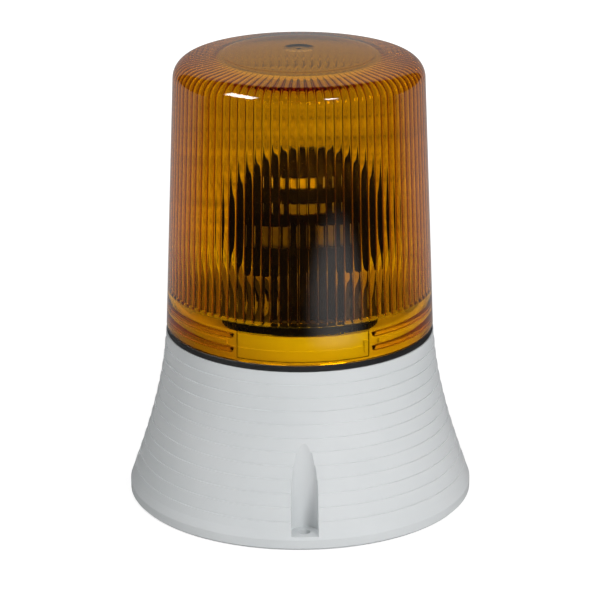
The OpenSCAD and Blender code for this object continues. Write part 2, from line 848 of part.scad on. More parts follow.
module reflector_dish() {
    color([0.85, 0.86, 0.87])
        difference() {
            on_beam()
                bowl(dish_r, dish_t, 0);
            under_cut();
        }
}

// All that lies in front of the carrier's bowl, which the bracket has to leave free
module dish_space() {
    steps = 12;
    r_out = clear_r;
    on_beam()
        rotate_extrude()
            polygon(concat(
                [for (i = [0 : steps])
                    [r_out * i / steps, dish_depth(r_out * i / steps) - dish_t - carrier_gap]],
                [[r_out, 2 * focus], [0, 2 * focus]]));
}

module reflector_carrier() {
    lip_r = dish_r + 1.5;
    lip_z = dish_depth(dish_r);
    color([0.05, 0.05, 0.05])
        difference() {
            union() {
                difference() {
                    on_beam() {
                        bowl(lip_r, dish_t + carrier_gap + carrier_t, dish_t + carrier_gap);
                        ring(dish_r + 0.1, lip_r, lip_z - dish_t - carrier_gap - 1, dish_t + 1.4);
                    }
                    carrier_windows();
                    under_cut();
                }
                carrier_claws(lip_r, lip_z + 0.2);
                difference() {
                    carrier_bracket();
                    dish_space();
                }
            }
            column_way();
        }
}

// Three small claws that hold the reflector's edge
module carrier_claws(lip_r, z) {
    on_beam()
        for (a = [90, 180, 270])
            sector(dish_r - 1, lip_r - 0.2, z, 1, a, 9);
}

// Openings in the carrier through which the reflector's back shows
module carrier_windows() {
    translate([0, 0, filament_z])
        rotate([0, 0, beam_angle + 180]) {
            for (side = [-0.5, 0.5])
                translate([window_x, window_y + side * window_gap - window_w / 2, -window_drop])
                    cube([dish_r, window_w, window_h]);
            for (row = [0, 1])
                translate([window_x, slot_y, slot_low + row * slot_pitch])
                    cube([dish_r, slot_w - 3 * row, slot_t]);
        }
}

// Curved bracket behind the bowl, its two gussets and its foot on the turntable
module carrier_bracket() {
    back = beam_angle + 180;
    sector(bracket_in, bracket_out, drum_top + 0.5, filament_z - bracket_drop - drum_top - 0.5, back,
        2 * bracket_half);
    difference() {
        sector(bracket_in - 6, drum_r - 0.5, drum_top, foot_plate_t, back, 2 * bracket_half + 4);
        around(carrier_screw_angles, carrier_screw_r)
            translate([0, 0, drum_top - 1])
                cylinder(r = 1.3, h = foot_plate_t + 2);
    }
    rotate([0, 0, back])
        for (side = [-1, 1])
            translate([bracket_in - 9, side * (bracket_w / 2 - 3) - 0.9, drum_top + 0.5])
                cube([8, 1.8, 25]);
}

module carrier_screws() {
    color([0.75, 0.75, 0.75])
        around(carrier_screw_angles, carrier_screw_r)
            translate([0, 0, drum_top + foot_plate_t])
                pan_screw(1.18, 2.1, 1.4, foot_plate_t + 4);
}

module terminal_block() {
    low = terminal_y[0] - terminal_pitch / 2 - 0.5;
    color([0.9, 0.9, 0.86])
        difference() {
            translate([block_x - block_depth, low, floor_top])
                cube([block_depth, 4 * terminal_pitch + 1, block_h]);
            for (y = terminal_y) {
                translate([block_x - lead_grip - 3, y, lead_z])
                    rotate([0, 90, 0])
                        cylinder(r = lead_r + fit, h = lead_grip + 4);
                translate([block_x - block_depth / 2, y, lead_z + lead_r + 1])
                    cylinder(r = 1.6 + fit, h = block_h);
            }
        }
}

module terminal_screws() {
    color([0.8, 0.7, 0.4])
        for (y = terminal_y)
            translate([block_x - block_depth / 2, y, lead_z + lead_r + 1])
                difference() {
                    cylinder(r = 1.6, h = floor_top + block_h - lead_z - lead_r - 2);
                    translate([-2, -0.3, floor_top + block_h - lead_z - lead_r - 3])
                        cube([4, 0.6, 3]);
                }
}

// A lead from height z_top straight down, round a bend and along -X at the terminals' height
module drop_lead(x, y, z_top) {
    translate([x, y, lead_z + bend_r])
        cylinder(r = lead_r, h = z_top - lead_z - bend_r);
    translate([x - bend_r, y, lead_z + bend_r])
        rotate([90, 0, 0])
            rotate([0, 0, -90])
                rotate_extrude(angle = 90)
                    translate([bend_r, 0])
                        circle(lead_r);
    translate([block_x - lead_grip, y, lead_z])
        rotate([0, 90, 0])
            cylinder(r = lead_r, h = x - bend_r - block_x + lead_grip);
}

module lamp_leads() {
    color([0.7, 0.1, 0.1])
        for (side = [0, 1])
            drop_lead(0, terminal_y[side], contact_bottom);
}

module motor_leads() {
    color([0.1, 0.2, 0.6])
        for (side = [0, 1])
            side_lead(lead_start(1 - 2 * side), terminal_y[3 - side], motor_bottom - tab_h);
}

// Where a lead leaves the motor's tab, to the nearest hundredth
function lead_start(side) =
    let (at = polar(motor_axis, pinion_angle) + polar(tab_y * side, pinion_angle + 90))
    [round(at[0] * 100) / 100, round(at[1] * 100) / 100];

// A lead that also runs along -Y across the floor before it turns to the terminals
module side_lead(at, y, z_top) {
    translate([at[0], at[1], lead_z + bend_r])
        cylinder(r = lead_r, h = z_top - lead_z - bend_r);
    translate([at[0], at[1] - bend_r, lead_z + bend_r])
        rotate([90, 0, 90])
            rotate([0, 0, -90])
                rotate_extrude(angle = 90)
                    translate([bend_r, 0])
                        circle(lead_r);
    translate([at[0], at[1] - bend_r, lead_z])
        rotate([90, 0, 0])
            cylinder(r = lead_r, h = at[1] - bend_r - y - bend_r);
    translate([at[0] - bend_r, y + bend_r, lead_z])
        rotate([0, 0, -90])
            rotate_extrude(angle = 90)
                translate([bend_r, 0])
                    circle(lead_r);
    translate([block_x - lead_grip, y, lead_z])
        rotate([0, 90, 0])
            cylinder(r = lead_r, h = at[0] - bend_r - block_x + lead_grip);
}

base_housing();
foot_gasket();
cable_grommet();
lens_gasket();
lens();
chassis_plate();
chassis_screws();
bearing_bush();
retaining_clip();
turntable_gear();
drive_pinion();
motor_shaft();
motor_body();
motor_screws();
lamp_holder();
lamp_contacts();
bulb_cap();
bulb_glass();
bulb_filament();
reflector_dish();
reflector_carrier();
carrier_screws();
terminal_block();
terminal_screws();
lamp_leads();
motor_leads();
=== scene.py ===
"""Looks of the rotating warning light: its lens, finishes, floor, light and camera."""

import math

import bmesh
import bpy
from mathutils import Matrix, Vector


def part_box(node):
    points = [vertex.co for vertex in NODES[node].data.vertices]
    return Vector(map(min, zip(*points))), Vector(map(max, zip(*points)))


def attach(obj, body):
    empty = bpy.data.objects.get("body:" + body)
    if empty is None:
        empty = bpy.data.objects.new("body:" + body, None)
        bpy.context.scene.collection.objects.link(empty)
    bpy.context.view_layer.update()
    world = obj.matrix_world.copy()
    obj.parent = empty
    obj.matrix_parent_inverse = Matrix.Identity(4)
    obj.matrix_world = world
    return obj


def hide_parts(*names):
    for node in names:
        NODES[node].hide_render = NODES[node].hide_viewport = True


MM = 0.001

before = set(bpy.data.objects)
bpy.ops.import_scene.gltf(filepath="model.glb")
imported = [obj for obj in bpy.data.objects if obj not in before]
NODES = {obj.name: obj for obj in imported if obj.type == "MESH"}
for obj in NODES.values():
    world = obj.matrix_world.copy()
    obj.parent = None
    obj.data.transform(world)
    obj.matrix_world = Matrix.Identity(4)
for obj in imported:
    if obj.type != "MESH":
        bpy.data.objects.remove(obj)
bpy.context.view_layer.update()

# Lens: the CAD solid's form, with finer flutes, ribs and dimple, in metres and degrees
LENS_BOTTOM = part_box("lens")[0][2]
LENS_H = 133.6 * MM
LENS_TOP = LENS_BOTTOM + LENS_H
LENS_R = 63.4 * MM
LENS_DRAFT = 0.039
LENS_WALL = 2.4 * MM
SKIRT_IN = 60.6 * MM
FLUTES = 90
FLUTE_H = 0.9 * MM
FLUTE_CROWN = 2.6
FLUTE_START = 17.6 * MM
SHOULDER_R = 9 * MM
TOP_SLOPE = 0.15
TOP_DISC_R = 36.4 * MM
TOP_STEP = 0.12 * MM
DOME_H = 2.6 * MM
STEP_W = 1.8 * MM
DIMPLE_W = 3.9 * MM
DIMPLE_R = 7.8 * MM
DIMPLE_DEPTH = 0.09 * MM
PIP_R = 1.2 * MM
PIP_H = 0.07 * MM
RIM_TOP = LENS_TOP - DOME_H - TOP_STEP
FADE_R = TOP_DISC_R + 1 * MM
RIB_IN = 59.5 * MM
RIB_T = 2.45 * MM
RIB_LEVELS = (3.4 * MM, 10.0 * MM)
RIB_CENTRES = (-30, 90, 210)
PANEL_CENTRES = (30, 150, 270)
RIB_HALF = 30
PANEL_D = 0.4 * MM
PANEL_LOW = 1.4 * MM
PANEL_H = 12.5 * MM
PANEL_HALF = 29.5

# Mesh of the lens: its roundings, the ends of its flutes, ribs and panels, and its fineness
EDGE_R = 0.5 * MM
POLE_R = 0.5 * MM
DISC_GAP = 0.2 * MM
DIMPLE_GAP = 0.15 * MM
PIP_EDGE = 0.3 * MM
PIP_GAP = 0.5 * MM
FLUTE_END = 2.4 * MM
TOP_FADE = 0.85
RIB_SOFT = 4
PANEL_SOFT = 0.5
PANEL_STEP = 0.4 * MM
PANEL_ROUNDING = (-0.4 * MM, -0.1 * MM, 0.1 * MM, 0.4 * MM)
# Height over a rib's lower edge, and share of its depth there, up to its middle
RIB_ROUNDING = ((-0.25 * MM, 0), (0, 0.15), (0.2 * MM, 0.8), (0.6 * MM, 1))
# Points across a flute
FLUTE_SAMPLES = 10

# Camera, from the photograph's perspective: azimuth in degrees, the other angles in radians,
# distances in metres, focal length and sensor in millimetres
CAMERA_AZIMUTH = 1.5
CAMERA_DISTANCE = 1347.8 * MM
CAMERA_HEIGHT = 557.2 * MM
CAMERA_PITCH = 0.33117
CAMERA_ROLL = 0.0029
CAMERA_YAW = -0.0011
CAMERA_FOCAL = 179.76
SENSOR = 36
CLIP_NEAR, CLIP_FAR = 0.05, 20

# Amber plastic: what a metre of it absorbs, as a density and the colour that it leaves
AMBER_DENSITY = 1920
AMBER = (0.967, 0.895, 0.0)
AMBER_IOR = 1.58
AMBER_ROUGHNESS = 0.015

# Finishes: how fine their patches and grain are, and how deep the grain is
PLASTIC_PATCHES = 18
PLASTIC_GRAIN = 900
PLASTIC_DEPTH = 0.04 * MM
METAL_PATCHES = 60
METAL_GRAIN = 600
FINE_DEPTH = 0.01 * MM
NOISE_ROUGHNESS = 0.55
BLACK_LOW = (0.002, 0.002, 0.002)
BLACK_HIGH = (0.004, 0.004, 0.004)
BLACK_SPECULAR = 0.15

# Reflector: its dull back, and the band of its normals over which it changes
DISH_BACK = (0.40, 0.39, 0.37)
DISH_DULL = 0.35
DISH_BAND = 0.05

# World: its strength for plain rays, mirrored rays and rays through clear plastic
AMBIENT = 0.30
GLOSS_AMBIENT = 0.02
THROUGH_AMBIENT = 0.8

# Floor: its size and finish, and its glow as the camera sees it near the light and far from it
FLOOR_SIZE = 10.0
FLOOR = 0.8
FLOOR_ROUGHNESS = 0.9
FLOOR_DROP = 0.3 * MM
FLOOR_GLOW = 1.35
FLOOR_FAR_GLOW = 1.65
FLOOR_NEAR = 0.9
FLOOR_SHARE = 0.62

# Floor through the lens, painted light: dim in front with a glowing patch, bright behind, with
# streaks of light, and dimmer again far off
FRONT_SEEN = 0.03
FLOOR_THROUGH = 0.95
REAR_FROM, REAR_TO = -0.25, 0.15
FAR_SHARE = 0.5
FAR_FROM, FAR_TO = 0.4, 0.8
FRONT_GLOW = 0.6
FRONT_PLACE = (0.02, -0.30, 0)
FRONT_REACH = 0.26
STREAK_SCALE = 60
STREAK_STRETCH = (0.2, 1, 1)
STREAK_LOW, STREAK_HIGH = 0.15, 1.6
STREAK_FROM, STREAK_TO = 0.4, 0.6
STREAK_PLACE = (0.08, 0.62, 0)
STREAK_REACH = 0.5

# Floor in the gloss, a painted reflection: it glows brighter behind, and in a soft patch at the
# front right that paints a sheen on the lens
FLOOR_GLOSS = 0.35
GLOSS_FROM, GLOSS_TO = 0.0, 0.3
SHEEN = 0.85
SHEEN_PLACE = (0.244, -0.459, 0)
SHEEN_REACH = 0.25

# Backdrop
BACKDROP_SIZE = 3.2
BACKDROP_PLACE = (0, 2.2, 0.9)
BACKDROP_THROUGH = 0.5
BACKDROP_GLOSS = 0.3

# Soft boxes (name, place, aim, size, power) and cards (name, place, size)
SOFT_BOXES = (
    ("key", (0.80, -1.45, 1.0), (0, 0, 0.1), (0.7, 0.6), 22.5),
    ("fill", (-1.40, -0.80, 1.0), (0, 0, 0.1), (0.6, 0.5), 3.2),
    ("top", (-0.5, -0.3, 1.5), (0, 0, 0.05), (0.5, 0.5), 4),
    ("rear", (0.7, 1.5, 0.9), (0, 0, 0.08), (0.6, 0.5), 5),
)
CARDS = (
    ("left_card", (-1.40, -0.71, 1.40), (1.0, 0.6)),
    ("right_card", (0.83, -1.34, 1.52), (0.42, 0.3)),
)
CARD_AIM = (0, 0, 0.2)
CARD_GLOSS = 20
# Share of a card's width, from its middle, that is at full strength
CARD_CORE = 0.35


def corner_point():
    """Where the lens's side and top would meet without the rounded shoulder."""
    drop = LENS_DRAFT * (RIM_TOP - LENS_BOTTOM + TOP_SLOPE * TOP_DISC_R)
    radius = (LENS_R - drop) / (1 - LENS_DRAFT * TOP_SLOPE)
    return radius, RIM_TOP - TOP_SLOPE * (radius - TOP_DISC_R)


def shoulder_centre(radius):
    """Centre of a rounding of that radius inside the corner."""
    side = math.atan(LENS_DRAFT)
    top = math.pi / 2 - math.atan(TOP_SLOPE)
    corner_r, corner_z = corner_point()
    p_side = corner_r * math.cos(side) + corner_z * math.sin(side) - radius
    p_top = corner_r * math.cos(top) + corner_z * math.sin(top) - radius
    det = math.sin(top - side)
    return (
        (p_side * math.sin(top) - p_top * math.sin(side)) / det,
        (p_top * math.cos(side) - p_side * math.cos(top)) / det,
        side,
        top,
    )


def smooth(x):
    """0 to 1 with level ends."""
    x = min(max(x, 0.0), 1.0)
    return x * x * (3 - 2 * x)


def dome(radius):
    """Height of the domed disc."""
    return RIM_TOP + TOP_STEP + DOME_H * (1 - (radius / TOP_DISC_R) ** 2)


def outer_rows(centre_r, centre_z, side, top):
    """Rows over the outside, from the lower edge to the middle of the top."""
    rows = []
    edge_z = LENS_BOTTOM + EDGE_R
    for i in range(5):
        a = -math.pi / 2 + (math.pi / 2) * i / 4
        rows.append((LENS_R - EDGE_R + EDGE_R * math.cos(a), edge_z + EDGE_R * math.sin(a)))
    start_r = centre_r + SHOULDER_R * math.cos(side)
    start_z = centre_z + SHOULDER_R * math.sin(side)
    for i in range(1, 12):
        t = i / 12
        rows.append((LENS_R + (start_r - LENS_R) * t, edge_z + (start_z - edge_z) * t))
    for i in range(17):
        a = side + (top - side) * i / 16
        rows.append((centre_r + SHOULDER_R * math.cos(a), centre_z + SHOULDER_R * math.sin(a)))
    last_r, last_z = rows[-1]
    for i in range(1, 7):
        r = last_r + (TOP_DISC_R - last_r) * (1 - (1 - i / 6) ** 2)
        rows.append((r, last_z + (last_r - r) * TOP_SLOPE))
    for i in range(1, 7):
        t = i / 6
        r = TOP_DISC_R - STEP_W * t
        flat = RIM_TOP + (TOP_DISC_R - r) * TOP_SLOPE
        rows.append((r, flat + (dome(r) - flat) * smooth(t)))
    disc_from = TOP_DISC_R - STEP_W - DISC_GAP
    disc_to = DIMPLE_R + DIMPLE_GAP
    for i in range(12):
        r = disc_from + (disc_to - disc_from) * i / 11
        rows.append((r, dome(r)))
    low = dome(DIMPLE_R)
    for i in range(9):
        t = i / 8
        rows.append((DIMPLE_R - DIMPLE_W * t, low - DIMPLE_DEPTH * smooth(t)))
    low -= DIMPLE_DEPTH
    for r in (DIMPLE_R - DIMPLE_W - DISC_GAP, PIP_R + PIP_GAP):
        rows.append((r, low))
    for i in range(5):
        t = i / 4
        rows.append((PIP_R + PIP_EDGE * (1 - 2 * t), low + PIP_H * smooth(t)))
    rows.append((POLE_R, low + PIP_H))
    return [(r, z, 0, 0, 0, 0) for r, z in rows]


def wall_in(z):
    """Inner radius of the drafted wall at a height."""
    return LENS_R - LENS_DRAFT * (z - LENS_BOTTOM) - LENS_WALL


def skirt_levels():
    """Heights over the lens's lower edge, from the top down, with their share of the ribs."""
    levels = []
    for level in RIB_LEVELS:
        for dz, share in RIB_ROUNDING:
            levels.append((level + dz, share))
            levels.append((level + RIB_T - dz, share))
    for dz in PANEL_ROUNDING:
        levels.append((PANEL_LOW + dz, 0))
        levels.append((PANEL_LOW + PANEL_H + dz, 0))
    return sorted(levels, reverse=True)


def lens_profile():
    """Rows of the lens from its lower outer edge over the top to its lower inner edge.

    A row is (radius, height, direction of its normal, share of flutes, of ribs, of panels)."""
    centre_r, centre_z, side, top = shoulder_centre(SHOULDER_R)
    rows = outer_rows(centre_r, centre_z, side, top)
    inner_r = SHOULDER_R - LENS_WALL
    arc = []
    for i in range(15):
        a = side + (top - side) * i / 14
        arc.append((centre_r + inner_r * math.cos(a), centre_z + inner_r * math.sin(a), a, 1, 0, 0))
    end_r, end_z = arc[-1][:2]
    low = end_z + (end_r - FADE_R) * TOP_SLOPE
    rise = DOME_H + TOP_STEP + (FADE_R - TOP_DISC_R) * TOP_SLOPE
    up = math.pi / 2
    for i in range(9):
        r = POLE_R + (FADE_R - DISC_GAP - POLE_R) * i / 8
        rows.append((r, low + rise * (1 - (r / FADE_R) ** 2), up, 0, 0, 0))
    third = (end_r - FADE_R) / 3
    for i in range(9):
        t = i / 8
        r = FADE_R + third * t
        rows.append((r, low - third * t * TOP_SLOPE, up, TOP_FADE * smooth(t), 0, 0))
    for i in range(1, 4):
        t = i / 4
        r = FADE_R + third * (1 + 2 * t)
        rows.append((r, low - (r - FADE_R) * TOP_SLOPE, up, TOP_FADE + (1 - TOP_FADE) * t, 0, 0))
    rows.extend(reversed(arc))
    flute_z = LENS_BOTTOM + FLUTE_START
    wall_z = arc[0][1]
    for i in range(1, 12):
        z = wall_z + (flute_z + FLUTE_END - wall_z) * i / 12
        rows.append((wall_in(z), z, 0, 1, 0, 0))
    for i in range(9):
        t = i / 8
        z = flute_z + FLUTE_END * (1 - t)
        r = wall_in(z) + (SKIRT_IN - wall_in(z)) * smooth(t)
        rows.append((r, z, 0, 1 - smooth(t), 0, 0))
    for z, share in skirt_levels():
        inside = min(z - PANEL_LOW, PANEL_LOW + PANEL_H - z)
        rows.append((SKIRT_IN, LENS_BOTTOM + z, 0, 0, share, smooth(0.5 + inside / PANEL_STEP)))
    rows.append((SKIRT_IN, LENS_BOTTOM + PANEL_STEP, 0, 0, 0, 0))
    rows.append((SKIRT_IN + PANEL_STEP, LENS_BOTTOM, 0, 0, 0, 0))
    return rows


def sector_share(angle, centres, half, soft):
    """1 in a sector round one of the centres, 0 outside them, with ends that blend."""
    off = min(abs((angle - centre + 180) % 360 - 180) for centre in centres)
    return smooth((half - off) / soft)


def flute_bulge(phase):
    """Height of a broad-crowned flute over its valley, at a place from 0 to 1 across it."""
    x = abs(2 * phase - 1)
    return (1 - x ** FLUTE_CROWN) ** (1 / FLUTE_CROWN)


def build_lens():
    """The lens as one closed mesh of fine rings: smooth outside, fluted inside."""
    samples = FLUTE_SAMPLES
    count = FLUTES * samples
    rows = lens_profile()
    mesh = bmesh.new()
    cosine = [math.cos(2 * math.pi * j / count) for j in range(count)]
    sine = [math.sin(2 * math.pi * j / count) for j in range(count)]
    angles = [360 * j / count for j in range(count)]
    ribs = [sector_share(angle, RIB_CENTRES, RIB_HALF, RIB_SOFT) for angle in angles]
    panels = [sector_share(angle, PANEL_CENTRES, PANEL_HALF, PANEL_SOFT) for angle in angles]
    bulge = [flute_bulge((j % samples) / samples) for j in range(count)]
    loops = []
    for radius, height, normal, flute, rib, panel in rows:
        out, up = math.cos(normal), math.sin(normal)
        loop = []
        for j in range(count):
            inward = FLUTE_H * flute * bulge[j]
            r = radius - inward * out
            r += PANEL_D * panel * panels[j] - (SKIRT_IN - RIB_IN) * rib * ribs[j]
            loop.append(mesh.verts.new((r * cosine[j], r * sine[j], height - inward * up)))
        loops.append(loop)
    pole = min(range(len(rows)), key=lambda i: rows[i][0])
    for i in range(len(loops)):
        if i == pole:
            mesh.faces.new(loops[i])
            mesh.faces.new(list(reversed(loops[i + 1])))
            continue
        lower, upper = loops[i], loops[(i + 1) % len(loops)]
        for j in range(count):
            k = (j + 1) % count
            mesh.faces.new((lower[j], lower[k], upper[k], upper[j]))
    for face in mesh.faces:
        face.smooth = len(face.verts) == 4
    data = bpy.data.meshes.new("lens_moulding")
    mesh.to_mesh(data)
    mesh.free()
    piece = bpy.data.objects.new("lens_moulding", data)
    bpy.context.scene.collection.objects.link(piece)
    return piece


def new_material(name):
    """A material with its node tree, its output and one Principled shader."""
    material = bpy.data.materials.new(name)
    material.use_nodes = True
    tree = material.node_tree
    return material, tree, tree.nodes["Principled BSDF"], tree.nodes["Material Output"]


def object_noise(tree, scale, detail, stretch=(1, 1, 1)):
    """Noise over the object's own coordinates."""
    coords = tree.nodes.new("ShaderNodeTexCoord")
    noise = tree.nodes.new("ShaderNodeTexNoise")
    noise.inputs["Scale"].default_value = scale
    noise.inputs["Detail"].default_value = detail
    noise.inputs["Roughness"].default_value = NOISE_ROUGHNESS
    scaled = tree.nodes.new("ShaderNodeVectorMath")
    scaled.operation = "MULTIPLY"
    tree.links.new(coords.outputs["Object"], scaled.inputs[0])
    scaled.inputs[1].default_value = stretch
    tree.links.new(scaled.outputs["Vector"], noise.inputs["Vector"])
    return noise.outputs["Fac"]


def split_xyz(tree, source):
    """A Separate XYZ node on a vector."""
    node = tree.nodes.new("ShaderNodeSeparateXYZ")
    tree.links.new(source, node.inputs["Vector"])
    return node


def ramp(tree, source, low, high):
    """Maps the middle of source's range to a colour between low and high."""
    node = tree.nodes.new("ShaderNodeValToRGB")
    for element, place, colour in zip(node.color_ramp.elements, (0.35, 0.65), (low, high)):
        element.position = place
        element.color = (*colour, 1)
    tree.links.new(source, node.inputs["Fac"])
    return node.outputs["Color"]


def value_range(tree, source, low, high, start=0.3, end=0.7):
    """Maps source from start..end to low..high."""
    node = tree.nodes.new("ShaderNodeMapRange")
    node.inputs["From Min"].default_value = start
    node.inputs["From Max"].default_value = end
    node.inputs["To Min"].default_value = low
    node.inputs["To Max"].default_value = high
    tree.links.new(source, node.inputs["Value"])
    return node.outputs["Result"]


def bump(tree, height, distance):
    """A bump normal from a height."""
    node = tree.nodes.new("ShaderNodeBump")
    node.inputs["Distance"].default_value = distance
    node.inputs["Strength"].default_value = 1.0
    tree.links.new(height, node.inputs["Height"])
    return node.outputs["Normal"]


def plastic(name, low, high, roughness, depth=PLASTIC_DEPTH, specular=0.5):
    """A moulded plastic: faint patches of colour, a fine grain and a roughness that varies."""
    material, tree, shader, _ = new_material(name)
    patches = object_noise(tree, PLASTIC_PATCHES, 3)
    fine = object_noise(tree, PLASTIC_GRAIN, 5)
    shader.inputs["Specular IOR Level"].default_value = specular
    tree.links.new(ramp(tree, patches, low, high), shader.inputs["Base Color"])
    uneven = value_range(tree, fine, roughness - 0.05, roughness + 0.07)
    tree.links.new(uneven, shader.inputs["Roughness"])
    tree.links.new(bump(tree, fine, depth), shader.inputs["Normal"])
    return material


def metal(name, low, high, roughness):
    """A metal with a slightly uneven finish."""
    material, tree, shader, _ = new_material(name)
    shader.inputs["Metallic"].default_value = 1
    patches = object_noise(tree, METAL_PATCHES, 4)
    fine = object_noise(tree, METAL_GRAIN, 4)
    tree.links.new(ramp(tree, patches, low, high), shader.inputs["Base Color"])
    uneven = value_range(tree, fine, roughness * 0.75, roughness * 1.3)
    tree.links.new(uneven, shader.inputs["Roughness"])
    tree.links.new(bump(tree, fine, FINE_DEPTH), shader.inputs["Normal"])
    return material


def dish_metal():
    """The reflector: bright on its hollow side, dull on its back."""
    material = metal("mirror_aluminium", (0.84, 0.85, 0.86), (0.90, 0.90, 0.90), 0.08)
    tree = material.node_tree
    shader = tree.nodes["Principled BSDF"]
    coords = tree.nodes.new("ShaderNodeTexCoord")
    facing = split_xyz(tree, coords.outputs["Normal"])
    back = value_range(tree, facing.outputs["Y"], 1.0, 0.0, -DISH_BAND, DISH_BAND)
    bright = shader.inputs["Base Color"].links[0].from_socket
    tint = tree.nodes.new("ShaderNodeMix")
    tint.data_type = "RGBA"
    tree.links.new(back, tint.inputs["Factor"])
    tree.links.new(bright, tint.inputs["A"])
    tint.inputs["B"].default_value = (*DISH_BACK, 1)
    tree.links.new(tint.outputs["Result"], shader.inputs["Base Color"])
    polish = shader.inputs["Roughness"].links[0].from_socket
    dull = math_node(tree, "MULTIPLY", back, DISH_DULL)
    tree.links.new(math_node(tree, "ADD", polish, dull), shader.inputs["Roughness"])
    return material


def clear(name, tint, shadow_tint, ior, roughness):
    """Clear plastic or glass that lets the lamps' light through to what it covers."""
    material, tree, shader, output = new_material(name)
    shader.inputs["Base Color"].default_value = (*tint, 1)
    shader.inputs["Transmission Weight"].default_value = 1
    shader.inputs["IOR"].default_value = ior
    shader.inputs["Roughness"].default_value = roughness
    see_through = tree.nodes.new("ShaderNodeBsdfTransparent")
    see_through.inputs["Color"].default_value = (*shadow_tint, 1)
    mix = tree.nodes.new("ShaderNodeMixShader")
    path = tree.nodes.new("ShaderNodeLightPath")
    tree.links.new(path.outputs["Is Shadow Ray"], mix.inputs["Fac"])
    tree.links.new(shader.outputs["BSDF"], mix.inputs[1])
    tree.links.new(see_through.outputs["BSDF"], mix.inputs[2])
    tree.links.new(mix.outputs["Shader"], output.inputs["Surface"])
    return material


def amber_plastic():
    """Clear amber plastic: colourless at its surface, coloured by the depth that light crosses."""
    material = clear("amber_lens", (1, 1, 1), (1, 1, 1), AMBER_IOR, AMBER_ROUGHNESS)
    tree = material.node_tree
    inside = tree.nodes.new("ShaderNodeVolumeAbsorption")
    inside.inputs["Color"].default_value = (*AMBER, 1)
    inside.inputs["Density"].default_value = AMBER_DENSITY
    tree.links.new(inside.outputs["Volume"], tree.nodes["Material Output"].inputs["Volume"])
    return material


def paint(node, material):
    """Gives a CAD node its material."""
    slots = NODES[node].data.materials
    if not slots:
        slots.append(material)
    for i in range(len(slots)):
        slots[i] = material


def dress():
    """Materials of every node."""
    grey = plastic("grey_housing", (0.60, 0.625, 0.635), (0.64, 0.66, 0.67), 0.42)
    rubber = plastic("black_rubber", (0.012, 0.012, 0.012), (0.025, 0.025, 0.025), 0.6)
    light = plastic("light_plate", (0.62, 0.62, 0.60), (0.68, 0.68, 0.66), 0.45)
    black = plastic("black_plastic", BLACK_LOW, BLACK_HIGH, 0.3, FINE_DEPTH, BLACK_SPECULAR)
    white = plastic("white_acetal", (0.74, 0.72, 0.66), (0.80, 0.78, 0.72), 0.35)
    red = plastic("red_lead", (0.40, 0.02, 0.015), (0.48, 0.04, 0.03), 0.4)
    blue = plastic("blue_lead", (0.02, 0.06, 0.30), (0.04, 0.09, 0.38), 0.4)
    steel = metal("zinc_steel", (0.50, 0.51, 0.53), (0.62, 0.63, 0.64), 0.3)
    brass = metal("brass", (0.62, 0.44, 0.16), (0.76, 0.58, 0.25), 0.28)
    tungsten = metal("tungsten", (0.22, 0.22, 0.23), (0.34, 0.34, 0.35), 0.35)
    glass = clear("bulb_glass", (0.96, 0.97, 0.97), (0.95, 0.96, 0.96), 1.5, 0.01)
    for material, names in (
        (grey, ("base_housing",)),
        (rubber, ("foot_gasket", "cable_grommet", "lens_gasket")),
        (light, ("chassis_plate",)),
        (steel, ("chassis_screws", "motor_screws", "carrier_screws")),
        (steel, ("retaining_clip", "motor_shaft", "motor_body")),
        (white, ("bearing_bush", "drive_pinion", "terminal_block")),
        (black, ("turntable_gear", "reflector_carrier", "lamp_holder")),
        (brass, ("lamp_contacts", "bulb_cap", "terminal_screws")),
        (dish_metal(), ("reflector_dish",)),
        (tungsten, ("bulb_filament",)),
        (glass, ("bulb_glass",)),
        (red, ("lamp_leads",)),
        (blue, ("motor_leads",)),
    ):
        for name in names:
            paint(name, material)


def make_camera():
    """The photograph's viewpoint, a little round the side so that the pocket faces as shown."""
    data = bpy.data.cameras.new("camera")
    camera = bpy.data.objects.new("camera", data)
    bpy.context.scene.collection.objects.link(camera)
    data.lens = CAMERA_FOCAL
    data.sensor_width = SENSOR
    data.clip_start = CLIP_NEAR
    data.clip_end = CLIP_FAR
    turn = math.radians(CAMERA_AZIMUTH)
    camera.location = (
        -CAMERA_DISTANCE * math.sin(turn),
        -CAMERA_DISTANCE * math.cos(turn),
        CAMERA_HEIGHT,
    )
    camera.rotation_mode = "XYZ"
    camera.rotation_euler = (math.pi / 2 - CAMERA_PITCH, CAMERA_ROLL, -turn + CAMERA_YAW)
    bpy.context.scene.camera = camera


def aim_at(thing, place, aim):
    """Puts a lamp or a card at a place, facing a point."""
    thing.location = place
    thing.rotation_euler = (Vector(aim) - Vector(place)).to_track_quat("-Z", "Y").to_euler()


def soft_box(name, place, aim, size, power):
    """A rectangular soft box that mirrored rays don't see."""
    data = bpy.data.lights.new(name, "AREA")
    data.shape = "RECTANGLE"
    data.size, data.size_y = size
    data.energy = power
    light = bpy.data.objects.new(name, data)
    aim_at(light, place, aim)
    light.visible_glossy = False
    bpy.context.scene.collection.objects.link(light)
    return light


def set_or_link(tree, socket, value):
    """Gives a socket a number or another socket's output."""
    if isinstance(value, (int, float)):
        socket.default_value = value
    else:
        tree.links.new(value, socket)


def math_node(tree, operation, first, second, clamp=False):
    """A Math node on two inputs, each a socket or a number."""
    node = tree.nodes.new("ShaderNodeMath")
    node.operation = operation
    node.use_clamp = clamp
    for socket, value in zip(node.inputs, (first, second)):
        set_or_link(tree, socket, value)
    return node.outputs["Value"]


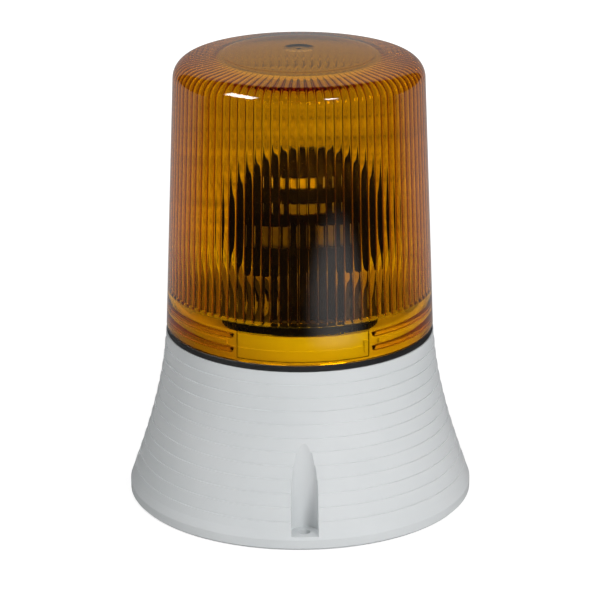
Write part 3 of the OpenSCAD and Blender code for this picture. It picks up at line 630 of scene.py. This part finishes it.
def by_ray(tree, plain, camera, through, mirrored):
    """One value for camera rays, rays through clear plastic, mirrored rays and all others."""
    path = tree.nodes.new("ShaderNodeLightPath")
    is_camera = path.outputs["Is Camera Ray"]
    is_through = path.outputs["Is Transmission Ray"]
    is_mirrored = math_node(tree, "SUBTRACT", path.outputs["Is Glossy Ray"], is_through, True)
    total = plain
    for share, value in ((is_camera, camera), (is_through, through), (is_mirrored, mirrored)):
        node = tree.nodes.new("ShaderNodeMix")
        tree.links.new(share, node.inputs["Factor"])
        set_or_link(tree, node.inputs["A"], total)
        set_or_link(tree, node.inputs["B"], value)
        total = node.outputs["Result"]
    return total


def make_world():
    """A studio: white to the camera, dim all round in the gloss."""
    world = bpy.data.worlds.new("surround")
    bpy.context.scene.world = world
    world.use_nodes = True
    tree = world.node_tree
    background = tree.nodes["Background"]
    level = by_ray(tree, AMBIENT, 1.0, THROUGH_AMBIENT, GLOSS_AMBIENT)
    tree.links.new(level, background.inputs["Strength"])
    background.inputs["Color"].default_value = (1, 1, 1, 1)


def sheet(name, width, depth):
    """A flat rectangle for the studio."""
    mesh = bmesh.new()
    bmesh.ops.create_grid(mesh, x_segments=1, y_segments=1, size=0.5)
    bmesh.ops.scale(mesh, vec=(width, depth, 1), verts=mesh.verts)
    data = bpy.data.meshes.new(name)
    mesh.to_mesh(data)
    mesh.free()
    piece = bpy.data.objects.new(name, data)
    bpy.context.scene.collection.objects.link(piece)
    return piece


def glow_material(name):
    """A material with an Emission shader in place of its Principled one."""
    material, tree, shader, output = new_material(name)
    tree.nodes.remove(shader)
    return material, tree, white_glow(tree), output


def white_glow(tree):
    """A white Emission shader."""
    glow = tree.nodes.new("ShaderNodeEmission")
    glow.inputs["Color"].default_value = (1, 1, 1, 1)
    return glow


def spot(tree, coords, place, reach, inside, outside):
    """A value that falls smoothly from inside to outside round a place."""
    away = tree.nodes.new("ShaderNodeVectorMath")
    away.operation = "DISTANCE"
    tree.links.new(coords.outputs["Object"], away.inputs[0])
    away.inputs[1].default_value = place
    fall = tree.nodes.new("ShaderNodeMapRange")
    fall.interpolation_type = "SMOOTHSTEP"
    fall.inputs["From Min"].default_value = 0.3 * reach
    fall.inputs["From Max"].default_value = reach
    fall.inputs["To Min"].default_value = inside
    fall.inputs["To Max"].default_value = outside
    tree.links.new(away.outputs["Value"], fall.inputs["Value"])
    return fall.outputs["Result"]


def floor_through(tree, coords, along):
    """Painted light: the floor's glow as the lens shows it, dim in front with a glowing patch,
    bright and streaky behind, dimmer far off.
    """
    rear = value_range(tree, along, FRONT_SEEN, FLOOR_THROUGH, REAR_FROM, REAR_TO)
    far = value_range(tree, along, 1.0, FAR_SHARE, FAR_FROM, FAR_TO)
    # Painted light: a glowing patch in front that only rays through the lens see
    near = spot(tree, coords, FRONT_PLACE, FRONT_REACH, FRONT_GLOW, 0.0)
    # Painted light: bright and dim streaks in the glow behind, seen through the lens as streaks of
    # light
    noise = object_noise(tree, STREAK_SCALE, 3, STREAK_STRETCH)
    patches = value_range(tree, noise, STREAK_LOW, STREAK_HIGH, STREAK_FROM, STREAK_TO)
    share = spot(tree, coords, STREAK_PLACE, STREAK_REACH, 1.0, 0.0)
    change = math_node(tree, "MULTIPLY", share, math_node(tree, "SUBTRACT", patches, 1.0))
    streak = math_node(tree, "ADD", 1.0, change)
    behind = math_node(tree, "MULTIPLY", math_node(tree, "MULTIPLY", rear, far), streak)
    return math_node(tree, "ADD", behind, near)


def make_floor():
    """A white floor that keeps the light's shadow, with its own level for each kind of ray."""
    floor = sheet("floor", FLOOR_SIZE, FLOOR_SIZE)
    floor.location = (0, 0, -FLOOR_DROP)
    material, tree, shader, output = new_material("floor")
    shader.inputs["Base Color"].default_value = (FLOOR, FLOOR, FLOOR, 1)
    shader.inputs["Roughness"].default_value = FLOOR_ROUGHNESS
    shader.inputs["Specular IOR Level"].default_value = 0.0
    coords = tree.nodes.new("ShaderNodeTexCoord")
    along = split_xyz(tree, coords.outputs["Object"]).outputs["Y"]
    through = floor_through(tree, coords, along)
    # Painted reflection: a glow that only mirrored rays see, brighter behind and in a soft patch at
    # the front right, shows on the lens as a sheen
    sheen = spot(tree, coords, SHEEN_PLACE, SHEEN_REACH, SHEEN, 0.0)
    gloss = value_range(tree, along, GLOSS_AMBIENT, FLOOR_GLOSS, GLOSS_FROM, GLOSS_TO)
    mirrored = math_node(tree, "ADD", gloss, sheen)
    seen = spot(tree, coords, (0, 0, 0), FLOOR_NEAR, FLOOR_GLOW, FLOOR_FAR_GLOW)
    glow = white_glow(tree)
    tree.links.new(by_ray(tree, 0.0, seen, through, mirrored), glow.inputs["Strength"])
    mix = tree.nodes.new("ShaderNodeMixShader")
    tree.links.new(by_ray(tree, 0.0, FLOOR_SHARE, 1.0, 1.0), mix.inputs["Fac"])
    tree.links.new(shader.outputs["BSDF"], mix.inputs[1])
    tree.links.new(glow.outputs["Emission"], mix.inputs[2])
    tree.links.new(mix.outputs["Shader"], output.inputs["Surface"])
    floor.data.materials.append(material)


def make_backdrop():
    """A sheet behind the light that its gloss and its lens pick up."""
    backdrop = sheet("backdrop", BACKDROP_SIZE, BACKDROP_SIZE)
    backdrop.location = BACKDROP_PLACE
    backdrop.rotation_euler = (math.pi / 2, 0, 0)
    paper, tree, glow, output = glow_material("backdrop")
    level = by_ray(tree, AMBIENT, 1.0, BACKDROP_THROUGH, BACKDROP_GLOSS)
    tree.links.new(level, glow.inputs["Strength"])
    tree.links.new(glow.outputs["Emission"], output.inputs["Surface"])
    backdrop.data.materials.append(paper)


def make_card(name, place, size):
    """A soft-edged card that only mirrored rays see: it gives a highlight and no other light."""
    card = sheet(name, *size)
    aim_at(card, place, CARD_AIM)
    card.visible_camera = False
    card.visible_diffuse = False
    card.visible_shadow = False
    material, tree, glow, output = glow_material(name)
    coords = tree.nodes.new("ShaderNodeTexCoord")
    spread = split_xyz(tree, coords.outputs["Object"])
    level = CARD_GLOSS
    for axis, width in zip("XY", size):
        away = math_node(tree, "ABSOLUTE", spread.outputs[axis], 0.0)
        fall = value_range(tree, away, 1, 0, CARD_CORE * width, 0.5 * width)
        level = math_node(tree, "MULTIPLY", level, fall)
    tree.links.new(by_ray(tree, 0.0, 0.0, 0.0, level), glow.inputs["Strength"])
    clear_card = tree.nodes.new("ShaderNodeBsdfTransparent")
    both = tree.nodes.new("ShaderNodeAddShader")
    tree.links.new(glow.outputs["Emission"], both.inputs[0])
    tree.links.new(clear_card.outputs["BSDF"], both.inputs[1])
    tree.links.new(both.outputs["Shader"], output.inputs["Surface"])
    card.data.materials.append(material)


def make_lights():
    """Soft boxes for the body, and two cards for the highlights on the lens's shoulder."""
    boxes = {box[0]: soft_box(*box) for box in SOFT_BOXES}
    boxes["rear"].visible_transmission = False
    for card in CARDS:
        make_card(*card)


bpy.context.scene.view_settings.view_transform = "Standard"
make_camera()
make_world()
make_floor()
make_backdrop()
make_lights()
dress()
lens = build_lens()
lens.data.materials.append(amber_plastic())
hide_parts("lens")
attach(lens, "lens")
